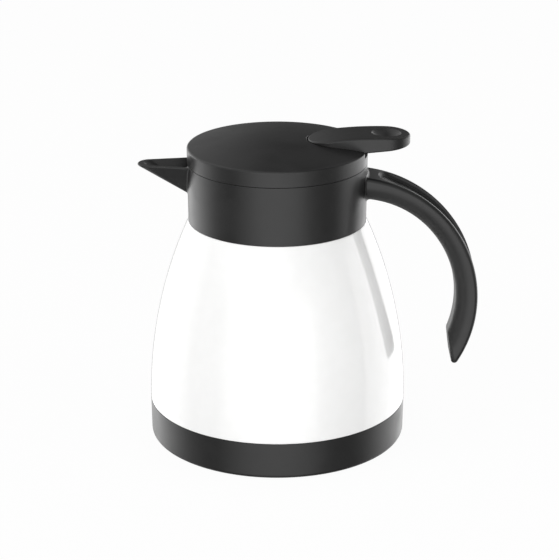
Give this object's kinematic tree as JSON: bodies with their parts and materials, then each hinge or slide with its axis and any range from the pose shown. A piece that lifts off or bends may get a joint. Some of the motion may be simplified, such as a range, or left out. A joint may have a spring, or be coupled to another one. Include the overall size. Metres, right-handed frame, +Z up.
{
  "type": "insulated teapot",
  "caption": "Bell-shaped insulated teapot: white steel body, black base, collar, beak spout and open C handle, screw-in lid with a thumb lever that lifts a pouring valve.",
  "frame": {"origin": "centre of the foot on the table, on the upright axis of the pot", "axes": "+Z up, +X towards the handle with the spout at -X, +Y across the middle plane"},
  "size_m": [0.1731, 0.1324, 0.1608],
  "materials": {
    "white_paint": "gloss white paint",
    "bare_steel": "satin stainless steel",
    "foil": "bright foil",
    "braze": "brazed seal",
    "black_plastic": "satin black, fine grain",
    "inner_plastic": "matte black",
    "valve_plastic": "natural white, smooth",
    "silicone": "soft matte",
    "pad_rubber": "matte rubber"
  },
  "bodies": {
    "pot": {"outer_shell": "white_paint", "shell_neck": "bare_steel", "inner_liner": "bare_steel", "liner_neck": "bare_steel", "liner_floor": "bare_steel", "radiation_foil": "foil", "shell_bottom": "bare_steel", "vacuum_bead": "braze", "getter": "bare_steel", "base_cup": "black_plastic", "base_pad": "pad_rubber", "collar": "black_plastic", "neck_sleeve": "inner_plastic", "neck_gasket": "silicone", "handle": "black_plastic", "handle_screws": "bare_steel"},
    "seal": {"stopper_seal": "silicone"},
    "lid": {"lid_cover": "black_plastic", "stopper_body": "inner_plastic", "valve_seat": "inner_plastic", "stem_bush": "valve_plastic", "stem_o_ring": "silicone", "lever_pin": "bare_steel", "valve_spring": "bare_steel", "lid_screws": "bare_steel"},
    "lever": {"thumb_lever": "black_plastic"},
    "valve": {"valve_stem": "valve_plastic", "valve_gasket": "silicone", "gasket_retainer": "valve_plastic", "stem_head": "valve_plastic"}
  },
  "joints": [
    {"name": "lid_rise", "type": "slide", "parent": "pot", "child": "seal", "axis": [0, 0, 1], "range_m": [0, 0.048]},
    {"name": "lid_turn", "type": "hinge", "parent": "seal", "child": "lid", "pos_m": [0, 0, 0.1455], "axis": [0, 0, 1], "range_deg": [0, 720]},
    {"name": "lever_press", "type": "hinge", "parent": "lid", "child": "lever", "pos_m": [0.04, 0, 0.1483], "axis": [0, 1, 0], "range_deg": [0, 11], "stiffness_Nm_per_rad": 0.59, "springref_deg": -23.89},
    {"name": "valve_lift", "type": "slide", "parent": "lid", "child": "valve", "axis": [0, 0, 1], "range_m": [0, 0.0079], "deforming": ["valve_spring"]}
  ],
  "couplings": [
    {"joint": "lid_rise", "follows": "lid_turn", "m_per_rad": 0.0038197},
    {"joint": "valve_lift", "follows": "lever_press", "m_per_rad": 0.04026}
  ]
}
